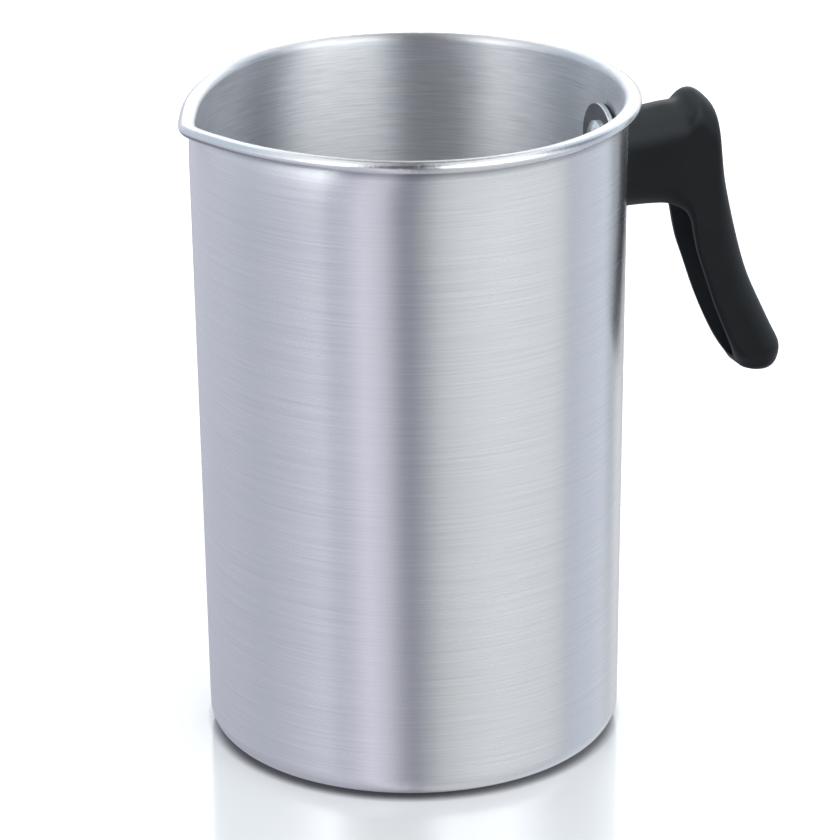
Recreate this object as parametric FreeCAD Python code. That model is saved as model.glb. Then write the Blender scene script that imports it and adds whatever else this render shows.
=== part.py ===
import FreeCAD, Part
import math
import os

# Candle melting pot. Millimetres, +Z up, +X towards the handle, spout towards -X,
# origin at the centre of the plane the pot stands on.

# pot shell
POT_HEIGHT = 188.7
WALL_R_BASE = 59.56
WALL_R_RIM = 61.35
SHEET = 1.0
CORNER_R = 6.0
RECESS_R = 49.0
RECESS_SLOPE = 1.6
RECESS_DEPTH = 0.8

# curled rim: oval tube of sheet, open underneath
BEAD_HALF_HEIGHT = 1.72
BEAD_HALF_WIDTH = 2.33
CURL_END_DEG = -75.0

# pouring spout, angles measured from -X
TIP_OUT = 1.96
TIP_HALF_ANGLE = 9.5
SHOULDER_IN = 3.0
SHOULDER_ANGLE = 35.9
SHOULDER_SPREAD = 30.7
SPOUT_DIP = 1.78
SPOUT_DIP_SPREAD = 52.3
SIDE_OUT = 0.62
SIDE_SAG = 0.24
SPOUT_START_Z = 169.0
RIM_BEND = 0.8
SPOUT_END_ANGLE = 150.0
RIM_SECTIONS = 90

# screw joint through the wall
SCREW_Z = 168.2
WALL_HOLE_D = 5.4
WASHER_FRONT_X = 57.5
WASHER_D = 21.6
WASHER_T = 1.6
WASHER_HOLE_D = 5.3
WASHER_EDGE_R = 0.35
SEAL_D = 20.4
SEAL_CLEARANCE = 0.12
SCREW_D = 5.0
SCREW_CORE_D = 4.2
SCREW_PITCH = 0.8
SCREW_LENGTH = 16.0
SCREW_PLAIN = 3.0
SCREW_HEAD_D = 11.8
SCREW_HEAD_H = 2.5
SCREW_HEAD_RIM = 0.7
CROSS_LENGTH = 4.8
CROSS_WIDTH = 1.1
CROSS_DEPTH = 1.7
INSERT_D = 8.0
INSERT_BORE_D = 5.05
INSERT_LENGTH = 13.0
INSERT_START_X = 62.3
INSERT_GROOVE_W = 1.2
INSERT_GROOVE_DEPTH = 0.5
KNURL_COUNT = 20
KNURL_R = 0.28

# handle
SADDLE_CLEARANCE = 0.05
SOCKET_CLEARANCE = 0.03


def vec(x, y, z):
    return FreeCAD.Vector(x, y, z)


def save(shape, name):
    shape.exportStep("parts/" + name + ".step")


# ---------------------------------------------------------------- pot body

def wall_radius(z):
    return WALL_R_BASE + (WALL_R_RIM - WALL_R_BASE) * z / POT_HEIGHT


def window(angle):
    """1 around the spout, falling smoothly to 0 at SPOUT_END_ANGLE."""
    t = min(1.0, abs(angle) / SPOUT_END_ANGLE)
    return (1.0 - t ** 4) ** 2


def side_bulge(angle):
    """1 at the two sides of the rim, which pinching the spout spreads a little and pulls down."""
    return math.sin(math.radians(angle)) ** 4


def rim_reach(angle):
    """Radial shift of the rim: outwards at the tip and the sides, inwards at the two shoulders."""
    a = abs(angle)
    tip = TIP_OUT * math.exp(-((a / TIP_HALF_ANGLE) ** 2))
    shoulder = SHOULDER_IN * math.exp(-(((a - SHOULDER_ANGLE) / SHOULDER_SPREAD) ** 2))
    return (tip - shoulder) * window(angle) + SIDE_OUT * side_bulge(angle)


def rim_drop(angle):
    dip = SPOUT_DIP * math.exp(-((angle / SPOUT_DIP_SPREAD) ** 2)) * window(angle)
    return dip + SIDE_SAG * side_bulge(angle)


def bezier(*points):
    curve = Part.BezierCurve()
    curve.setPoles(list(points))
    return curve.toBSpline().toShape()


def oval_arc(centre, half_width, half_height, start_deg, end_deg):
    """Arc of an ellipse in the XZ plane, from start_deg to end_deg."""
    lo = min(start_deg, end_deg)
    hi = max(start_deg, end_deg)
    ellipse = Part.Ellipse(centre + vec(half_width, 0, 0), centre + vec(0, 0, half_height), centre)
    curve = Part.ArcOfEllipse(ellipse, math.radians(lo), math.radians(hi)).toBSpline()
    if start_deg > end_deg:
        curve.reverse()
    return curve.toShape()


def wall_line(inset, angle, top_z):
    """Edges of one side of the wall in the XZ plane: base corner, plain cone, then up into the rim.

    Most of the shift of the rim is taken up in the last few millimetres, under the curl."""
    foot = wall_radius(CORNER_R) - CORNER_R
    corner = CORNER_R - inset
    slant = corner * math.sin(math.radians(45))
    low = vec(foot, 0, inset)
    bend = vec(foot + slant, 0, CORNER_R - slant)
    side = vec(foot + corner, 0, CORNER_R)
    start = vec(wall_radius(SPOUT_START_Z) - inset, 0, SPOUT_START_Z)
    top = vec(wall_radius(top_z) - inset + rim_reach(angle), 0, top_z)
    rise = top_z - SPOUT_START_Z
    lean = vec((WALL_R_RIM - WALL_R_BASE) / POT_HEIGHT, 0, 1) * rise
    held_back = vec(RIM_BEND * rim_reach(angle), 0, 0)
    return [
        Part.Arc(low, bend, side).toShape(),
        Part.makeLine(side, start),
        bezier(start, start + lean * 0.5, top - lean * 0.14 - held_back, top)]


def wall_section(angle):
    """Open section of the sheet: up the inside, round the curl, and down the outside."""
    top_z = POT_HEIGHT - BEAD_HALF_HEIGHT - rim_drop(angle)
    middle = vec(wall_radius(top_z) - SHEET + BEAD_HALF_WIDTH + rim_reach(angle), 0, top_z)
    inner_w = BEAD_HALF_WIDTH - SHEET
    inner_h = BEAD_HALF_HEIGHT - SHEET
    inside = wall_line(SHEET, angle, top_z)
    outside = wall_line(0.0, angle, top_z)
    over = oval_arc(middle, BEAD_HALF_WIDTH, BEAD_HALF_HEIGHT, 180, 60)
    down = oval_arc(middle, BEAD_HALF_WIDTH, BEAD_HALF_HEIGHT, 60, CURL_END_DEG)
    under = oval_arc(middle, inner_w, inner_h, CURL_END_DEG, 180)
    lip = Part.makeLine(down.valueAt(down.LastParameter), under.valueAt(under.FirstParameter))
    wire = Part.Wire(inside + [over, down, lip, under] + outside[::-1])
    wire.rotate(vec(0, 0, 0), vec(0, 0, 1), 180.0 + angle)
    return wire


def recess(inset):
    """Shallow dished centre of the base, up to its flat standing ring."""
    centre = vec(0, 0, RECESS_DEPTH + inset)
    edge = vec(RECESS_R, 0, RECESS_DEPTH + inset)
    foot = vec(RECESS_R + RECESS_SLOPE, 0, inset)
    wire = Part.Wire([Part.makeLine(centre, edge), Part.makeLine(edge, foot)])
    return wire.revolve(vec(0, 0, 0), vec(0, 0, 1), 360)


def ring_at(shell, z):
    """Closed boundary of a shell lying flat at height z."""
    for edge in shell.Edges:
        box = edge.BoundBox
        if edge.isClosed() and abs(box.ZMin - z) < 0.001 and abs(box.ZMax - z) < 0.001:
            return Part.Wire([edge])


def make_pot():
    step = 360.0 / RIM_SECTIONS
    wall = Part.makeLoft([wall_section(i * step - 180.0) for i in range(RIM_SECTIONS)], False, False, True)
    faces = wall.Faces
    for inset in (0.0, SHEET):
        dish = recess(inset)
        flat = Part.makeFace([ring_at(wall, inset), ring_at(dish, inset)], "Part::FaceMakerBullseye")
        faces += dish.Faces + flat.Faces
    shell = Part.makeCompound(faces)
    shell.sewShape()
    body = Part.Solid(shell.Shells[0])
    if body.Volume < 0:
        body.reverse()
    hole = Part.makeCylinder(WALL_HOLE_D / 2, 12, vec(54, 0, SCREW_Z), vec(1, 0, 0))
    return body.cut(hole)


# ---------------------------------------------------------------- screw joint

def rod(diameter, start_x, length):
    return Part.makeCylinder(diameter / 2, length, vec(start_x, 0, SCREW_Z), vec(1, 0, 0))


def turned(points):
    """Solid of revolution about the screw axis from (x, radius) points."""
    outline = [vec(x, 0, SCREW_Z + r) for x, r in points]
    face = Part.Face(Part.makePolygon(outline + [outline[0]]))
    return face.revolve(vec(0, 0, SCREW_Z), vec(1, 0, 0), 360)


def wall_cone(offset):
    """Solid cone of the plain pot wall, grown by offset, round the screw joint."""
    low = 130.0
    high = 186.0
    return Part.makeCone(wall_radius(low) + offset, wall_radius(high) + offset, high - low, vec(0, 0, low))


def make_cup_washer():
    disc = rod(WASHER_D, WASHER_FRONT_X, WASHER_T)
    disc = disc.makeFillet(WASHER_EDGE_R, disc.Edges)
    return disc.cut(rod(WASHER_HOLE_D, WASHER_FRONT_X - 1, WASHER_T + 2))


def make_seal():
    """Rubber disc: flat against the washer, curved to the pot wall behind."""
    back = WASHER_FRONT_X + WASHER_T
    disc = rod(SEAL_D, back, 8).cut(rod(WASHER_HOLE_D, back - 1, 10))
    return disc.common(wall_cone(-SHEET - SEAL_CLEARANCE))


def make_screw():
    """Truss head screw with a cross recess; the thread is a row of plain rings."""
    seat = WASHER_FRONT_X
    tip = seat + SCREW_LENGTH
    top_r = SCREW_HEAD_D / 2
    rise = SCREW_HEAD_H - SCREW_HEAD_RIM
    dome_r = (top_r ** 2 + rise ** 2) / (2 * rise)
    shoulder = math.sqrt(dome_r ** 2 - (top_r / 2) ** 2) - dome_r + SCREW_HEAD_H
    crown = Part.Arc(
        vec(seat - SCREW_HEAD_H, 0, SCREW_Z),
        vec(seat - shoulder, 0, SCREW_Z + top_r / 2),
        vec(seat - SCREW_HEAD_RIM, 0, SCREW_Z + top_r)).toShape()
    rim = Part.makePolygon([
        vec(seat - SCREW_HEAD_RIM, 0, SCREW_Z + top_r),
        vec(seat, 0, SCREW_Z + top_r),
        vec(seat, 0, SCREW_Z),
        vec(seat - SCREW_HEAD_H, 0, SCREW_Z)])
    head = Part.Face(Part.Wire([crown] + rim.Edges)).revolve(vec(0, 0, SCREW_Z), vec(1, 0, 0), 360)
    for turn in (0, 90):
        slot = Part.makeBox(
            CROSS_DEPTH, CROSS_LENGTH, CROSS_WIDTH,
            vec(seat - SCREW_HEAD_H, -CROSS_LENGTH / 2, SCREW_Z - CROSS_WIDTH / 2))
        slot.rotate(vec(seat, 0, SCREW_Z), vec(1, 0, 0), 45 + turn)
        head = head.cut(slot)
    outline = [(seat, 0), (seat, SCREW_D / 2), (seat + SCREW_PLAIN, SCREW_D / 2)]
    x = seat + SCREW_PLAIN
    while x + SCREW_PITCH < tip - 0.5:
        outline.append((x + SCREW_PITCH / 2, SCREW_CORE_D / 2))
        outline.append((x + SCREW_PITCH, SCREW_D / 2))
        x += SCREW_PITCH
    outline += [(tip - 0.4, SCREW_CORE_D / 2), (tip, SCREW_CORE_D / 2 - 0.4), (tip, 0)]
    return head.fuse(turned(outline))


def make_insert():
    """Knurled brass bush moulded into the neck of the handle."""
    r = INSERT_D / 2
    start = INSERT_START_X
    end = start + INSERT_LENGTH
    waist = (start + end - INSERT_GROOVE_W) / 2
    body = turned([
        (start, 0), (start, r - 0.5), (start + 0.5, r), (waist, r),
        (waist, r - INSERT_GROOVE_DEPTH), (waist + INSERT_GROOVE_W, r - INSERT_GROOVE_DEPTH),
        (waist + INSERT_GROOVE_W, r), (end - 0.5, r), (end, r - 0.5), (end, 0)])
    body = body.cut(rod(INSERT_BORE_D, start - 1, INSERT_LENGTH + 2))
    notches = []
    for i in range(KNURL_COUNT):
        notch = Part.makeCylinder(KNURL_R, INSERT_LENGTH + 2, vec(start - 1, 0, SCREW_Z + r), vec(1, 0, 0))
        notch.rotate(vec(start, 0, SCREW_Z), vec(1, 0, 0), 360.0 * i / KNURL_COUNT)
        notches.append(notch)
    return body.cut(Part.makeCompound(notches))


# ---------------------------------------------------------------- handle

def bezier_quarter(start, centre, end):
    """Poles of a quarter ellipse about centre."""
    k = 0.5523
    return [start, start + (end - centre) * k, end + (start - centre) * k, end]


def section_poles(station):
    """Closed section across the handle, as seven edges: narrow inner side, flat flanks, rounded crown."""
    ix, iz, ox, oz, half, corner, crown = station
    inner = vec(ix, 0, iz)
    outward = vec(ox - ix, 0, oz - iz)
    depth = outward.Length
    outward.normalize()

    def point(d, y):
        return inner + outward * d + vec(0, y, 0)

    flat = half - corner
    shoulder = depth - crown
    return [
        [point(0, -flat), point(0, flat)],
        bezier_quarter(point(0, flat), point(corner, flat), point(corner, half)),
        [point(corner, half), point(shoulder, half)],
        bezier_quarter(point(shoulder, half), point(shoulder, 0), point(depth, 0)),
        bezier_quarter(point(depth, 0), point(shoulder, 0), point(shoulder, -half)),
        [point(shoulder, -half), point(corner, -half)],
        bezier_quarter(point(corner, -half), point(corner, -flat), point(0, -flat))]


def skin(stations):
    """Smooth solid through the stations, closed by a flat face at each end."""
    params = [0.0]
    for a, b in zip(stations, stations[1:]):
        middle_a = vec(a[0] + a[2], 0, a[1] + a[3]) * 0.5
        middle_b = vec(b[0] + b[2], 0, b[1] + b[3]) * 0.5
        params.append(params[-1] + (middle_b - middle_a).Length)
    sections = [section_poles(s) for s in stations]
    faces = []
    for edge in range(len(sections[0])):
        count = len(sections[0][edge])
        columns = []
        for k in range(count):
            column = Part.BSplineCurve()
            column.interpolate(Points=[s[edge][k] for s in sections], Parameters=params)
            columns.append(column)
        surface = Part.BSplineSurface()
        surface.buildFromPolesMultsKnots(
            [c.getPoles() for c in columns], [count, count], columns[0].getMultiplicities(),
            [0.0, 1.0], columns[0].getKnots(), False, False, count - 1, 3)
        faces.append(surface.toShape())
    for section in (sections[0], sections[-1]):
        faces.append(Part.Face(Part.Wire([bezier(*poles) for poles in section])))
    shell = Part.makeCompound(faces)
    shell.sewShape()
    solid = Part.Solid(shell.Shells[0])
    if solid.Volume < 0:
        solid.reverse()
    return solid


# Stations down the handle in the XZ plane: inner x, inner z, outer x, outer z,
# half width, inner corner radius, depth of the rounded crown.
OUTER_STATIONS = [
    (57.0, 148.7, 57.0, 176.2, 10.3, 8.5, 10.0),
    (66.0, 148.7, 66.0, 176.4, 10.3, 8.5, 10.0),
    (73.0, 148.7, 73.6, 176.9, 10.2, 7.5, 10.0),
    (77.0, 148.5, 79.4, 177.4, 10.1, 6.0, 9.8),
    (78.7, 148.0, 82.6, 178.0, 10.1, 5.2, 9.6),
    (80.3, 147.3, 84.4, 179.8, 10.0, 4.5, 9.6),
    (81.8, 146.4, 86.6, 180.5, 9.9, 3.6, 9.5),
    (82.9, 145.1, 89.7, 178.5, 9.8, 2.8, 9.4),
    (83.6, 143.5, 92.1, 175.6, 9.7, 2.2, 9.2),
    (84.1, 141.5, 94.0, 168.8, 9.5, 1.6, 9.0),
    (84.7, 138.3, 95.4, 158.5, 9.3, 1.2, 8.6),
    (85.8, 133.5, 97.5, 148.0, 9.1, 1.0, 8.4),
    (88.0, 127.0, 100.5, 136.0, 9.0, 1.0, 8.2),
    (91.1, 118.0, 104.2, 124.0, 8.9, 1.0, 8.0),
    (95.0, 108.5, 109.2, 113.0, 8.9, 1.2, 8.0),
    (98.3, 101.5, 113.4, 104.5, 8.8, 2.0, 8.0),
    (99.9, 98.5, 115.2, 100.1, 8.7, 3.5, 8.0),
    (101.3, 96.1, 114.9, 96.8, 8.0, 4.5, 7.4),
    (103.4, 94.2, 113.2, 94.0, 6.4, 4.0, 5.6),
    (106.4, 93.3, 111.2, 92.8, 3.4, 1.7, 2.2),
]

CHANNEL_STATIONS = [
    (77.0, 148.0, 87.0, 149.3, 2.2, 1.0, 1.2),
    (77.2, 146.6, 89.0, 148.8, 5.0, 1.0, 3.0),
    (77.7, 144.5, 91.0, 148.0, 6.6, 1.0, 4.0),
    (78.8, 140.8, 92.6, 146.0, 7.1, 1.0, 4.5),
    (82.0, 130.0, 96.2, 137.0, 7.1, 1.0, 4.5),
    (87.8, 114.0, 102.2, 119.5, 7.0, 1.0, 4.5),
    (91.8, 104.5, 107.0, 109.0, 6.4, 1.0, 4.3),
    (94.6, 99.0, 109.0, 102.0, 4.2, 1.0, 3.0),
    (96.0, 96.6, 108.6, 98.8, 2.0, 0.8, 1.2),
]


def make_handle():
    body = skin(OUTER_STATIONS)
    channel = skin(CHANNEL_STATIONS)
    socket = rod(INSERT_D + 2 * SOCKET_CLEARANCE, 55, INSERT_START_X + INSERT_LENGTH + SOCKET_CLEARANCE - 55)
    screw_room = rod(SCREW_D + 1.0, 55, WASHER_FRONT_X + SCREW_LENGTH + 1.5 - 55)
    body = body.cut(wall_cone(SADDLE_CLEARANCE))
    body = body.cut(channel)
    return body.cut(socket).cut(screw_room)


def report(name, shape):
    print(name, shape.isValid(), round(shape.Volume, 1), len(shape.Solids), len(shape.Faces), shape.BoundBox)


pieces = {
    "pot_body": make_pot(),
    "seal_washer": make_seal(),
    "cup_washer": make_cup_washer(),
    "handle_screw": make_screw(),
    "threaded_insert": make_insert(),
    "handle": make_handle(),
}

os.makedirs("parts", exist_ok=True)
for name, shape in pieces.items():
    save(shape, name)
    report(name, shape)
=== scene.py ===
import math

import bpy
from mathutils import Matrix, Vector


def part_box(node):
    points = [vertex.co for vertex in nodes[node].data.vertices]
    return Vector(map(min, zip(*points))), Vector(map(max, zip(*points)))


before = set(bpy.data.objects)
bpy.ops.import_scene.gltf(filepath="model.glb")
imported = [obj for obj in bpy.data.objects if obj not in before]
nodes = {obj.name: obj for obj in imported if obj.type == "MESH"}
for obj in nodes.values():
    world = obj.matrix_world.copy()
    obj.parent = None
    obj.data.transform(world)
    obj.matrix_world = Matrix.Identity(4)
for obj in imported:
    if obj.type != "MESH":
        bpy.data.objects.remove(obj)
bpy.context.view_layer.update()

scene = bpy.context.scene

POT_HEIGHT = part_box("pot_body")[1].z


# ------------------------------------------------------------------ node helpers

# The mix node has sockets for every kind of value; these are the ones it uses for colours.
MIX_FACTOR = 0
MIX_FIRST = 6
MIX_SECOND = 7
MIX_RESULT = 2


class Graph:
    """A material or world node tree with short calls for adding and joining nodes.

    The calls take sockets or plain values and return sockets; only add returns the node itself.
    """

    def __init__(self, owner):
        owner.use_nodes = True
        self.tree = owner.node_tree
        self.tree.nodes.clear()

    def add(self, kind, **settings):
        node = self.tree.nodes.new(kind)
        for key, value in settings.items():
            setattr(node, key, value)
        return node

    def join(self, source, target):
        self.tree.links.new(source, target)

    def feed(self, node, values):
        """Join sockets to a node's inputs, or set plain values there, by name or number."""
        for key, value in values.items():
            if isinstance(value, bpy.types.NodeSocket):
                self.join(value, node.inputs[key])
            else:
                node.inputs[key].default_value = value

    def math(self, operation, a, b=0.0):
        node = self.add("ShaderNodeMath", operation=operation)
        self.feed(node, {0: a, 1: b})
        return node.outputs[0]

    def weighted(self, *terms, base=0.0):
        """Sum of the values, each times its weight, and a base."""
        products = [self.math("MULTIPLY", value, weight) for value, weight in terms]
        total = products[0]
        for product in products[1:] + [base]:
            total = self.math("ADD", total, product)
        return total

    def ramp(self, factor, stops):
        """Colour ramp from (position, colour) stops; colours are grey values or RGB triples."""
        node = self.add("ShaderNodeValToRGB")
        elements = node.color_ramp.elements
        while len(elements) < len(stops):
            elements.new(0.5)
        for element, (position, colour) in zip(elements, stops):
            element.position = position
            if isinstance(colour, (int, float)):
                colour = (colour, colour, colour)
            element.color = (*colour, 1.0)
        self.join(factor, node.inputs[0])
        return node.outputs[0]

    def span(self, value, low, high, **settings):
        """0 to 1 as the value goes from low to high."""
        node = self.add("ShaderNodeMapRange", **settings)
        self.feed(node, {"Value": value, "From Min": low, "From Max": high})
        return node.outputs[0]

    def noise(self, place, scale, detail, roughness):
        node = self.add("ShaderNodeTexNoise")
        self.feed(node, {"Vector": place, "Scale": scale, "Detail": detail, "Roughness": roughness})
        return node.outputs["Fac"]

    def combine(self, x, y, z):
        node = self.add("ShaderNodeCombineXYZ")
        self.feed(node, {0: x, 1: y, 2: z})
        return node.outputs[0]

    def split(self, vector):
        """The three parts of a vector."""
        node = self.add("ShaderNodeSeparateXYZ")
        self.join(vector, node.inputs[0])
        return node.outputs

    def mixed(self, factor, first, second):
        """The first colour where the factor is 0, the second where it is 1."""
        node = self.add("ShaderNodeMix", data_type="RGBA")
        self.feed(node, {MIX_FACTOR: factor, MIX_FIRST: first, MIX_SECOND: second})
        return node.outputs[MIX_RESULT]

    def bump(self, height, strength, distance, under=None):
        """Relief from a height, laid over another relief where one is given."""
        node = self.add("ShaderNodeBump")
        self.feed(node, {"Height": height, "Strength": strength, "Distance": distance})
        if under is not None:
            self.join(under, node.inputs["Normal"])
        return node.outputs["Normal"]

    def open_air(self, distance):
        """1 on an open surface, towards 0 where other surfaces stand closer than the distance."""
        node = self.add("ShaderNodeAmbientOcclusion", samples=8)
        self.feed(node, {"Distance": distance})
        return node.outputs["AO"]


def srgb(r, g, b):
    """Linear colour from 0-255 display values."""
    out = []
    for c in (r, g, b):
        c = c / 255.0
        out.append(c / 12.92 if c <= 0.04045 else ((c + 0.055) / 1.055) ** 2.4)
    return tuple(out)


def new_material(name):
    material = bpy.data.materials.new(name)
    graph = Graph(material)
    shader = graph.add("ShaderNodeBsdfPrincipled")
    output = graph.add("ShaderNodeOutputMaterial")
    graph.join(shader.outputs[0], output.inputs["Surface"])
    return material, graph, shader


def assign(node_name, material):
    """Give every slot of a piece the same material."""
    mesh = nodes[node_name].data
    for i in range(max(1, len(mesh.materials))):
        if i < len(mesh.materials):
            mesh.materials[i] = material
        else:
            mesh.materials.append(material)


# ------------------------------------------------------------------ materials

# Noise scales are repeats per metre and bump distances are metres.

FLAT_FACE = 0.7         # upright part of the normal above which a face of the pot lies flat
INSIDE_FADE = 0.01      # outward reach, in metres, over which the outside turns into the inside
CREASE_DEPTH = 0.009    # height below the rim in which the wall is shadowed by the curl


def brushed_aluminium():
    """Sheet brushed round the pot: fine lines follow the wall, long and thin."""
    material, g, shader = new_material("brushed_aluminium")
    coordinates = g.add("ShaderNodeTexCoord")
    place = coordinates.outputs["Object"]
    x, y, z = g.split(place)
    normal_x, normal_y, normal_z = g.split(coordinates.outputs["Normal"])
    turn = g.math("ARCTAN2", y, x)
    cosine = g.math("COSINE", turn)
    sine = g.math("SINE", turn)
    radius = g.math("SQRT", g.weighted((x, x), (y, y)))

    # the lines lie one above the other on the walls and one inside the other on flat faces
    flat = g.math("GREATER_THAN", g.math("ABSOLUTE", normal_z), FLAT_FACE)
    across = g.math("ADD", z, g.math("MULTIPLY", flat, g.math("SUBTRACT", radius, z)))

    def streaks(along, fine, detail):
        """Noise drawn out round the pot: along is repeats per radian, fine is repeats per metre."""
        around = g.combine(
            g.math("MULTIPLY", cosine, along),
            g.math("MULTIPLY", sine, along),
            g.math("MULTIPLY", across, fine))
        return g.noise(around, scale=1.0, detail=detail, roughness=0.6)

    # reach of the normal away from the axis: the radius on the outside, minus the radius on the inside
    outward = g.weighted((normal_x, x), (normal_y, y))
    inside = g.span(outward, INSIDE_FADE, -INSIDE_FADE)
    hair = streaks(along=2.2, fine=4200.0, detail=3.0)
    line = streaks(along=1.0, fine=1200.0, detail=3.0)
    sweep = streaks(along=0.45, fine=220.0, detail=1.0)
    scratch = streaks(along=6.0, fine=2400.0, detail=5.0)
    scratch = g.math("MULTIPLY", inside, g.math("SUBTRACT", scratch, 0.5))
    blotch = g.noise(place, scale=28.0, detail=3.0, roughness=0.55)

    colour = g.ramp(g.weighted((line, 0.35), (hair, 0.65), (scratch, 1.1)), [
        (0.10, srgb(196, 198, 202)),
        (0.30, srgb(228, 229, 232)),
        (0.50, srgb(238, 239, 241)),
        (0.70, srgb(247, 247, 248)),
        (0.90, srgb(255, 255, 255)),
    ])

    # shadowed crease on the outside, where the curl meets the wall
    depth = g.math("DIVIDE", g.math("SUBTRACT", POT_HEIGHT, z), CREASE_DEPTH)
    crease = g.ramp(depth, [(0.36, 0.0), (0.42, 1.0), (0.52, 0.8), (0.72, 0.0)])
    crease = g.math("MULTIPLY", g.math("GREATER_THAN", outward, 0.0), crease)
    crease = g.math("MULTIPLY", crease, g.math("SUBTRACT", 1.0, flat))
    shade = g.ramp(hair, [(0.3, srgb(158, 160, 165)), (0.7, srgb(178, 180, 184))])

    lines = g.bump(g.weighted((hair, 0.6), (line, 0.4)), strength=0.14, distance=0.00003)
    g.feed(shader, {
        "Base Color": g.mixed(crease, colour, shade),
        "Metallic": 1.0,
        "Roughness": g.weighted((blotch, 0.05), (line, 0.08), (inside, 0.16), base=0.20),
        "Anisotropic": 0.93,
        "Anisotropic Rotation": 0.25,
        "Tangent": g.add("ShaderNodeTangent", direction_type="RADIAL", axis="Z").outputs[0],
        "Normal": g.bump(sweep, strength=0.03, distance=0.0002, under=lines),
    })
    return material


CHANNEL_REACH = 0.03    # how far the walls of the handle's channel reach over the painted light in it


def moulded_plastic():
    """Black heat-resistant moulding with a satin grain, with painted top light on upward faces and
    painted light in the channel.
    """
    material, g, shader = new_material("moulded_plastic")
    coordinates = g.add("ShaderNodeTexCoord")
    place = coordinates.outputs["Object"]
    normal_z = g.split(coordinates.outputs["Normal"])[2]
    grain = g.noise(place, scale=2600.0, detail=2.0, roughness=0.6)
    cloud = g.noise(place, scale=60.0, detail=3.0, roughness=0.5)

    def clouded(dark, light):
        return g.ramp(cloud, [(0.3, dark), (0.7, light)])

    plain_black = clouded((0.0052, 0.0066, 0.0077), (0.0074, 0.0090, 0.0103))
    # painted top light: faces that look upward get a lighter black, standing in for light from above
    painted_top_light = clouded((0.0235, 0.0270, 0.0295), (0.0295, 0.0335, 0.0360))
    # painted light in the channel: sheltered faces get a lighter black, standing in for light filling the
    # recess
    painted_channel_light = clouded((0.0300, 0.0350, 0.0390), (0.0400, 0.0450, 0.0490))
    upward = g.ramp(normal_z, [(0.05, 0.0), (0.75, 1.0)])
    # the sheltered channel, where the painted light goes
    hollow = g.ramp(g.open_air(CHANNEL_REACH), [(0.46, 1.0), (0.64, 0.0)])
    g.feed(shader, {
        "Base Color": g.mixed(hollow, g.mixed(upward, plain_black, painted_top_light), painted_channel_light),
        "Roughness": g.weighted((cloud, 0.12), (grain, 0.08), base=0.33),
        "IOR": 1.5,
        "Specular IOR Level": 0.18,
        "Normal": g.bump(grain, strength=0.25, distance=0.00002),
    })
    return material


ROUND_FACE = 0.85       # part of the normal along the screw below which a face runs round it


def polished_steel(name, dark, light, edge, rough_low):
    """Turned steel, in another tone on the faces that run round the screw axis."""
    material, g, shader = new_material(name)
    coordinates = g.add("ShaderNodeTexCoord")
    place = coordinates.outputs["Object"]
    normal_x = g.split(coordinates.outputs["Normal"])[0]
    round_face = g.math("LESS_THAN", g.math("ABSOLUTE", normal_x), ROUND_FACE)
    scratch = g.noise(place, scale=1800.0, detail=4.0, roughness=0.7)
    cloud = g.noise(place, scale=240.0, detail=3.0, roughness=0.6)
    face_tone = g.ramp(cloud, [(0.35, dark), (0.65, light)])
    edge_tone = g.ramp(scratch, [(0.2, light), (0.45, edge)])
    g.feed(shader, {
        "Base Color": g.mixed(round_face, face_tone, edge_tone),
        "Metallic": 1.0,
        "Roughness": g.weighted((scratch, 0.10), base=rough_low),
        "Normal": g.bump(scratch, strength=0.12, distance=0.00002),
    })
    return material


def fine_grained(name, metallic, scale, detail, dark, light, rough_low, relief):
    """Even material with one fine grain in its colour, roughness and surface."""
    material, g, shader = new_material(name)
    place = g.add("ShaderNodeTexCoord").outputs["Object"]
    grain = g.noise(place, scale, detail, roughness=0.6)
    g.feed(shader, {
        "Base Color": g.ramp(grain, [(0.3, dark), (0.7, light)]),
        "Metallic": metallic,
        "Roughness": g.weighted((grain, 0.15), base=rough_low),
        "Normal": g.bump(grain, strength=relief, distance=0.00003),
    })
    return material


assign("pot_body", brushed_aluminium())
assign("handle", moulded_plastic())
assign("cup_washer", polished_steel(
    "polished_washer",
    dark=(0.30, 0.31, 0.33), light=(0.42, 0.43, 0.45), edge=(0.95, 0.96, 0.97), rough_low=0.08))
assign("handle_screw", polished_steel(
    "plated_screw",
    dark=(0.72, 0.73, 0.75), light=(0.92, 0.93, 0.94), edge=(0.85, 0.86, 0.88), rough_low=0.12))
assign("seal_washer", fine_grained(
    "silicone_seal", metallic=0.0, scale=1500.0, detail=3.0,
    dark=0.012, light=0.022, rough_low=0.55, relief=0.3))
assign("threaded_insert", fine_grained(
    "turned_brass", metallic=1.0, scale=900.0, detail=4.0,
    dark=(0.50, 0.34, 0.12), light=(0.70, 0.50, 0.20), rough_low=0.25, relief=0.2))


# ------------------------------------------------------------------ camera

CAMERA_AZIMUTH = math.radians(-20.6)
CAMERA_ELEVATION = math.radians(21.08)
CAMERA_ROLL = math.radians(-0.59)
CAMERA_DISTANCE = 1.12521
TARGET = Vector((0.0, 0.0, 0.09139))
LENS = 168.36
SENSOR_WIDTH = 36.0
SIDE_SHIFT = 0.01066

# unit vector from the target to the camera
AWAY = Vector((
    math.sin(CAMERA_AZIMUTH) * math.cos(CAMERA_ELEVATION),
    -math.cos(CAMERA_AZIMUTH) * math.cos(CAMERA_ELEVATION),
    math.sin(CAMERA_ELEVATION)))

camera = bpy.data.objects.new("camera", bpy.data.cameras.new("camera"))
scene.collection.objects.link(camera)
camera.data.sensor_width = SENSOR_WIDTH
camera.data.lens = LENS
camera.data.shift_x = SIDE_SHIFT
camera.location = TARGET + AWAY * CAMERA_DISTANCE
camera.rotation_euler = (-AWAY).to_track_quat("-Z", "Y").to_euler()
camera.rotation_euler.rotate_axis("Z", CAMERA_ROLL)
scene.camera = camera


# ------------------------------------------------------------------ studio

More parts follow.
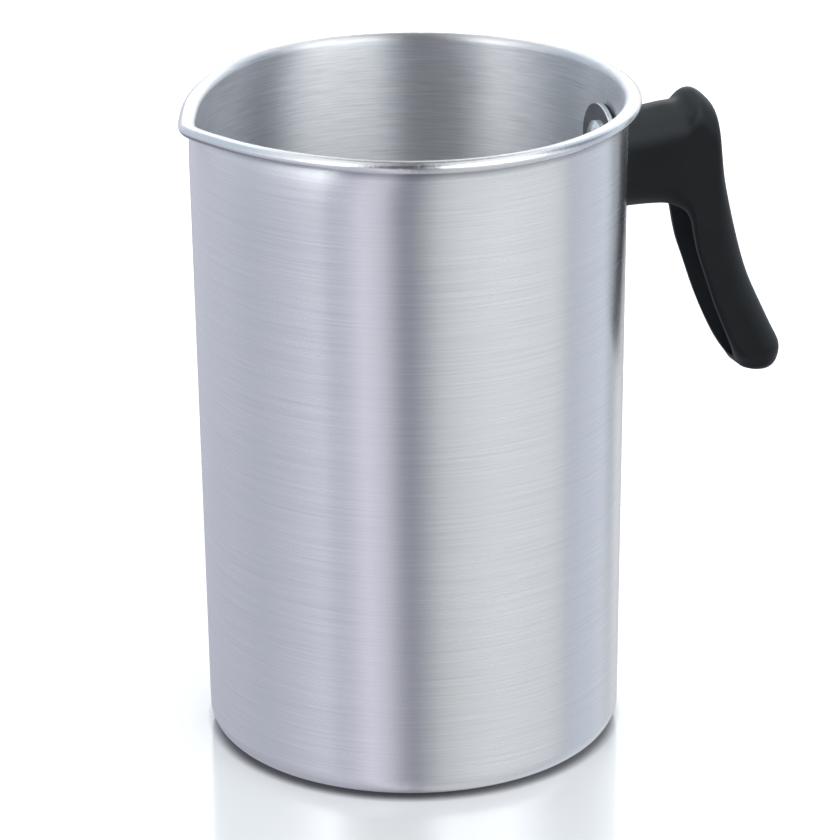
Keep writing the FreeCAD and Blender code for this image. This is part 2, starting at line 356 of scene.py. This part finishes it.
# Display tones round the light tent, ring by ring from the floor up. Bearings are in degrees:
# -180 behind the pot, -90 left, 0 in front, 90 right.
LOW_FLOOR = [
    (-180, (132, 132, 142)),
    (-171, (140, 140, 150)),
    (-160, (176, 178, 190)),
    (-90, (176, 178, 190)),
    (-46, (196, 197, 210)),
    (-36, (200, 200, 212)),
    (-24, (226, 224, 238)),
    (-14, (206, 204, 216)),
    (0, (160, 162, 172)),
    (16, (186, 189, 191)),
    (46, (206, 209, 212)),
    (80, (206, 209, 212)),
    (92, (186, 190, 196)),
    (108, (204, 210, 221)),
    (126, (200, 206, 216)),
    (150, (240, 242, 246)),
    (160, (200, 200, 206)),
    (171, (140, 140, 150)),
    (180, (132, 132, 142)),
]
BELOW = [
    (-180, (50, 50, 54)),
    (-173, (80, 80, 86)),
    (-166, (210, 212, 224)),
    (-112, (210, 212, 224)),
    (-90, (196, 198, 211)),
    (-60, (198, 200, 212)),
    (-46, (200, 201, 212)),
    (-42, (166, 168, 183)),
    (-36, (186, 186, 200)),
    (-24, (236, 234, 248)),
    (-14, (216, 214, 226)),
    (-4, (116, 118, 128)),
    (4, (130, 134, 140)),
    (14, (176, 180, 182)),
    (30, (204, 209, 212)),
    (46, (210, 214, 217)),
    (62, (222, 226, 229)),
    (80, (238, 241, 244)),
    (86, (232, 235, 238)),
    (92, (196, 200, 210)),
    (108, (204, 210, 221)),
    (126, (222, 229, 238)),
    (136, (96, 104, 112)),
    (150, (240, 242, 246)),
    (166, (225, 227, 232)),
    (173, (80, 80, 86)),
    (180, (50, 50, 54)),
]
ABOVE = [
    (-180, (233, 236, 239)),
    (-168, (197, 200, 203)),
    (-150, (132, 140, 147)),
    (-120, (115, 124, 132)),
    (-85, (132, 140, 147)),
    (-66, (181, 184, 187)),
    (-50, (245, 248, 251)),
    (-43, (203, 206, 209)),
    (-36, (127, 130, 133)),
    (-24, (27, 30, 33)),
    (-10, (25, 28, 31)),
    (2, (75, 84, 93)),
    (10, (164, 170, 176)),
    (18, (229, 232, 235)),
    (34, (229, 232, 235)),
    (50, (247, 250, 253)),
    (60, (229, 232, 235)),
    (74, (165, 172, 179)),
    (88, (75, 84, 93)),
    (100, (66, 75, 84)),
    (110, (75, 84, 93)),
    (124, (115, 124, 132)),
    (150, (174, 180, 186)),
    (168, (221, 224, 227)),
    (180, (233, 236, 239)),
]
OVERHEAD = [
    (-180, (60, 62, 64)),
    (-172, (90, 92, 94)),
    (-164, (200, 202, 204)),
    (-135, (253, 254, 255)),
    (-58, (253, 254, 255)),
    (-42, (196, 198, 200)),
    (-28, (118, 120, 122)),
    (-12, (50, 52, 54)),
    (8, (50, 52, 54)),
    (20, (140, 142, 144)),
    (32, (222, 224, 226)),
    (50, (253, 254, 255)),
    (135, (253, 254, 255)),
    (164, (200, 202, 204)),
    (172, (90, 92, 94)),
    (180, (60, 62, 64)),
]
ZENITH = [
    (-180, (52, 54, 56)),
    (180, (255, 255, 255)),
]
ABOVE_GAIN = 3.0        # the panels above the table are lamps, brighter than white paper

# Heights on the sphere, as the upright part of a direction, between which one ring turns into the next.
FLOOR_TO_BELOW = (-0.55, -0.15)
BELOW_TO_ABOVE = (0.05, 0.32)
ABOVE_TO_GAP = (0.44, 0.54)
ABOVE_TO_OVERHEAD = (0.70, 0.86)
OVERHEAD_TO_ZENITH = (0.95, 0.995)

# The overhead ring comes down lower just behind the pot: 1 there, 0 elsewhere, by share of the way round.
GAP_BEHIND = [(0.035, 1.0), (0.05, 0.0), (0.95, 0.0), (0.965, 1.0)]


def light_tent():
    """Light tent seen in the metal: pale panels with darker gaps, by compass bearing."""
    world = bpy.data.worlds.new("studio")
    scene.world = world
    g = Graph(world)
    x, y, z = g.split(g.add("ShaderNodeTexCoord").outputs["Generated"])
    bearing = g.math("ARCTAN2", y, x)
    # 0 to 1 once round, starting behind the pot and running left, front, right
    start = math.atan2(-AWAY.y, -AWAY.x)
    share = g.math("FRACT", g.math("DIVIDE", g.math("SUBTRACT", bearing, start), 2 * math.pi))

    def ring(stops):
        return g.ramp(share, [((angle + 180.0) / 360.0, srgb(*tone)) for angle, tone in stops])

    def stacked(heights, lower, upper):
        """Mix of two colours, from one to the other between two heights on the sphere."""
        return g.mixed(g.span(z, *heights, interpolation_type="SMOOTHSTEP"), lower, upper)

    lamps = g.add("ShaderNodeVectorMath", operation="SCALE")
    g.feed(lamps, {0: ring(ABOVE), "Scale": ABOVE_GAIN})
    overhead = ring(OVERHEAD)
    low = stacked(FLOOR_TO_BELOW, ring(LOW_FLOOR), ring(BELOW))
    wall = stacked(BELOW_TO_ABOVE, low, lamps.outputs[0])
    wall = g.mixed(g.ramp(share, GAP_BEHIND), wall, stacked(ABOVE_TO_GAP, wall, overhead))
    ceiling = stacked(ABOVE_TO_OVERHEAD, wall, overhead)
    ceiling = stacked(OVERHEAD_TO_ZENITH, ceiling, ring(ZENITH))
    background = g.add("ShaderNodeBackground")
    g.join(ceiling, background.inputs["Color"])
    output = g.add("ShaderNodeOutputWorld")
    g.join(background.outputs[0], output.inputs["Surface"])


def softbox(name, offset, width, depth, power):
    """Lamp aimed at the middle of the pot, seen neither directly nor in the metal."""
    light = bpy.data.lights.new(name, "AREA")
    light.shape = "RECTANGLE"
    light.size = width
    light.size_y = depth
    light.energy = power
    lamp = bpy.data.objects.new(name, light)
    lamp.location = Vector((0.0, 0.0, POT_HEIGHT / 2)) + offset
    lamp.rotation_euler = (-offset).to_track_quat("-Z", "Y").to_euler()
    lamp.visible_camera = False
    lamp.visible_glossy = False
    scene.collection.objects.link(lamp)


FLOOR_HALF = 6.0        # half the side of the table top
FLOOR_GAP = 0.0002      # gap between the table top and the base of the pot
CONTACT_SHADOW_REACH = 0.004   # width of the painted contact shadow, a soft dark line where the pot meets the table


def table_top():
    """Pale glossy table top that runs out past the view on every side."""
    corners = [(x * FLOOR_HALF, y * FLOOR_HALF, 0.0) for x, y in ((-1, -1), (1, -1), (1, 1), (-1, 1))]
    mesh = bpy.data.meshes.new("floor")
    mesh.from_pydata(corners, [], [(0, 1, 2, 3)])
    floor = bpy.data.objects.new("floor", mesh)
    scene.collection.objects.link(floor)
    floor.location.z = -FLOOR_GAP
    floor.visible_glossy = False
    material, g, shader = new_material("white_table")
    g.feed(shader, {
        # painted contact shadow: the base colour darkens where the pot stands close to the table
        "Base Color": g.ramp(g.open_air(CONTACT_SHADOW_REACH), [(0.30, 0.04), (0.85, 0.8)]),
        "Roughness": 0.12,
        "IOR": 1.9,
    })
    mesh.materials.append(material)


light_tent()
softbox("top_light", Vector((0.1, 0.3, 1.5)), width=1.6, depth=1.6, power=10.0)
softbox("front_fill", AWAY * 1.4 + Vector((0.0, 0.0, 1.2)), width=1.8, depth=1.2, power=5.0)
table_top()
scene.view_settings.view_transform = "Standard"
scene.view_settings.look = "None"
